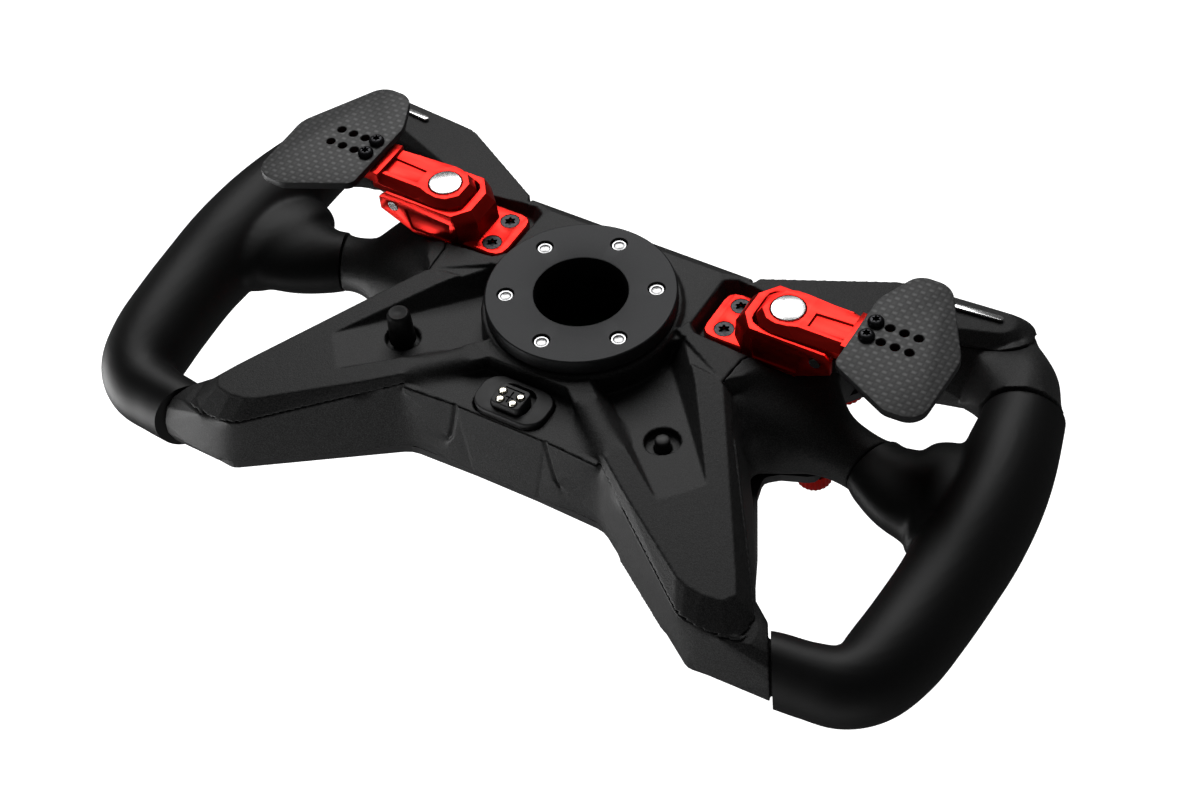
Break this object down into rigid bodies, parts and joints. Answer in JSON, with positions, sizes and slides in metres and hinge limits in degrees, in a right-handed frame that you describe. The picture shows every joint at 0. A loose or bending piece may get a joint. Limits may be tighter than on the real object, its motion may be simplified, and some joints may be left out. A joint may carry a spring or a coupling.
{
  "type": "racing wheel",
  "caption": "Open butterfly sim-racing wheel with a bolt-on hub, magnetic shift paddles, side grips, front controls and a rear charging connector.",
  "frame": {"origin": "centre of the hub's mounting face", "axes": "+X to the right as the rear face is seen, +Y to the wheel's top, +Z out of the rear face towards the wheelbase"},
  "size_m": [0.3308, 0.1693, 0.0654],
  "materials": {
    "housing_nylon": "moulded glass-filled nylon, smooth matte black",
    "cover_nylon": "moulded glass-filled nylon, fine grain, matte black",
    "carbon_plate": "2x2 twill carbon fibre laminate under satin resin",
    "hub_black": "bead-blasted black anodised",
    "insert_steel": "bare threaded steel",
    "grip_rubber": "satin soft-touch rubber",
    "bright_nickel": "bright nickel plate",
    "red_anodised": "bead-blasted red anodised with bright machined edges",
    "black_steel": "black oxide steel",
    "connector_black": "satin black moulding",
    "connector_core": "black insulator",
    "contact_gold": "pale gold plate",
    "nub_rubber": "matte black rubber",
    "button_black": "satin black button cap",
    "board_green": "solder mask over fibreglass"
  },
  "bodies": {
    "wheel_body": {"front_housing": "housing_nylon", "rear_cover": "cover_nylon", "front_plate": "carbon_plate", "hub_flange": "hub_black", "hub_insert_1": "insert_steel", "hub_insert_2": "insert_steel", "hub_insert_3": "insert_steel", "hub_insert_4": "insert_steel", "hub_insert_5": "insert_steel", "hub_insert_6": "insert_steel", "grip_right": "grip_rubber", "grip_core_right": "bright_nickel", "paddle_bracket_right": "red_anodised", "base_magnet_right": "bright_nickel", "hinge_pin_right": "bright_nickel", "paddle_switch_right": "connector_black", "bracket_screw_1_right": "black_steel", "bracket_screw_2_right": "black_steel", "grip_left": "grip_rubber", "grip_core_left": "bright_nickel", "paddle_bracket_left": "red_anodised", "base_magnet_left": "bright_nickel", "hinge_pin_left": "bright_nickel", "paddle_switch_left": "connector_black", "bracket_screw_1_left": "black_steel", "bracket_screw_2_left": "black_steel", "connector_pod": "connector_black", "connector_insulator": "connector_core", "contact_pin_1": "contact_gold", "contact_pin_2": "contact_gold", "contact_pin_3": "contact_gold", "contact_pin_4": "contact_gold", "circuit_board": "board_green"},
    "paddle_right": {"paddle_lever_right": "red_anodised", "paddle_plate_right": "carbon_plate", "lever_magnet_right": "bright_nickel", "plate_screw_1_right": "black_steel", "plate_screw_2_right": "black_steel"},
    "paddle_left": {"paddle_lever_left": "red_anodised", "paddle_plate_left": "carbon_plate", "lever_magnet_left": "bright_nickel", "plate_screw_1_left": "black_steel", "plate_screw_2_left": "black_steel"},
    "rear_nub_left": {"rear_nub_left": "nub_rubber"},
    "rear_button_right": {"rear_button_right": "black_steel"},
    "front_button_1_right": {"front_button_1_right": "button_black"},
    "front_button_1_left": {"front_button_1_left": "button_black"},
    "front_button_2_right": {"front_button_2_right": "button_black"},
    "front_button_2_left": {"front_button_2_left": "button_black"},
    "front_button_3_right": {"front_button_3_right": "button_black"},
    "front_button_3_left": {"front_button_3_left": "button_black"},
    "front_button_4_right": {"front_button_4_right": "button_black"},
    "front_button_4_left": {"front_button_4_left": "button_black"},
    "rotary_knob_1_right": {"rotary_knob_1_right": "red_anodised"},
    "rotary_knob_1_left": {"rotary_knob_1_left": "red_anodised"},
    "rotary_knob_2_right": {"rotary_knob_2_right": "red_anodised"},
    "rotary_knob_2_left": {"rotary_knob_2_left": "red_anodised"}
  },
  "joints": [
    {"name": "paddle_right_pull", "type": "hinge", "parent": "wheel_body", "child": "paddle_right", "pos_m": [0.0829, 0.0206, -0.0034], "axis": [0, 1, 0], "range_deg": [0, 4], "stiffness_Nm_per_rad": 2, "springref_deg": -5.73},
    {"name": "paddle_left_pull", "type": "hinge", "parent": "wheel_body", "child": "paddle_left", "pos_m": [-0.0829, 0.0206, -0.0034], "axis": [0, -1, 0], "range_deg": [0, 4], "stiffness_Nm_per_rad": 2, "springref_deg": -5.73},
    {"name": "rear_nub_left_press", "type": "slide", "parent": "wheel_body", "child": "rear_nub_left", "axis": [0, 0, -1], "range_m": [0, 0.0015], "stiffness_N_per_m": 400, "springref_m": -0.002},
    {"name": "rear_button_right_press", "type": "slide", "parent": "wheel_body", "child": "rear_button_right", "axis": [0, 0, -1], "range_m": [0, 0.0015], "stiffness_N_per_m": 400, "springref_m": -0.002},
    {"name": "front_button_1_right_press", "type": "slide", "parent": "wheel_body", "child": "front_button_1_right", "axis": [0, 0, 1], "range_m": [0, 0.0012], "stiffness_N_per_m": 400, "springref_m": -0.002},
    {"name": "front_button_1_left_press", "type": "slide", "parent": "wheel_body", "child": "front_button_1_left", "axis": [0, 0, 1], "range_m": [0, 0.0012], "stiffness_N_per_m": 400, "springref_m": -0.002},
    {"name": "front_button_2_right_press", "type": "slide", "parent": "wheel_body", "child": "front_button_2_right", "axis": [0, 0, 1], "range_m": [0, 0.0012], "stiffness_N_per_m": 400, "springref_m": -0.002},
    {"name": "front_button_2_left_press", "type": "slide", "parent": "wheel_body", "child": "front_button_2_left", "axis": [0, 0, 1], "range_m": [0, 0.0012], "stiffness_N_per_m": 400, "springref_m": -0.002},
    {"name": "front_button_3_right_press", "type": "slide", "parent": "wheel_body", "child": "front_button_3_right", "axis": [0, 0, 1], "range_m": [0, 0.0012], "stiffness_N_per_m": 400, "springref_m": -0.002},
    {"name": "front_button_3_left_press", "type": "slide", "parent": "wheel_body", "child": "front_button_3_left", "axis": [0, 0, 1], "range_m": [0, 0.0012], "stiffness_N_per_m": 400, "springref_m": -0.002},
    {"name": "front_button_4_right_press", "type": "slide", "parent": "wheel_body", "child": "front_button_4_right", "axis": [0, 0, 1], "range_m": [0, 0.0012], "stiffness_N_per_m": 400, "springref_m": -0.002},
    {"name": "front_button_4_left_press", "type": "slide", "parent": "wheel_body", "child": "front_button_4_left", "axis": [0, 0, 1], "range_m": [0, 0.0012], "stiffness_N_per_m": 400, "springref_m": -0.002},
    {"name": "rotary_knob_1_right_turn", "type": "hinge", "parent": "wheel_body", "child": "rotary_knob_1_right", "pos_m": [0.0765, 0.043, -0.05], "axis": [0, 0, 1], "continuous": true},
    {"name": "rotary_knob_1_left_turn", "type": "hinge", "parent": "wheel_body", "child": "rotary_knob_1_left", "pos_m": [-0.0765, 0.043, -0.05], "axis": [0, 0, 1], "continuous": true},
    {"name": "rotary_knob_2_right_turn", "type": "hinge", "parent": "wheel_body", "child": "rotary_knob_2_right", "pos_m": [0.0864, 0.0024, -0.05], "axis": [0, 0, 1], "continuous": true},
    {"name": "rotary_knob_2_left_turn", "type": "hinge", "parent": "wheel_body", "child": "rotary_knob_2_left", "pos_m": [-0.0864, 0.0024, -0.05], "axis": [0, 0, 1], "continuous": true}
  ]
}
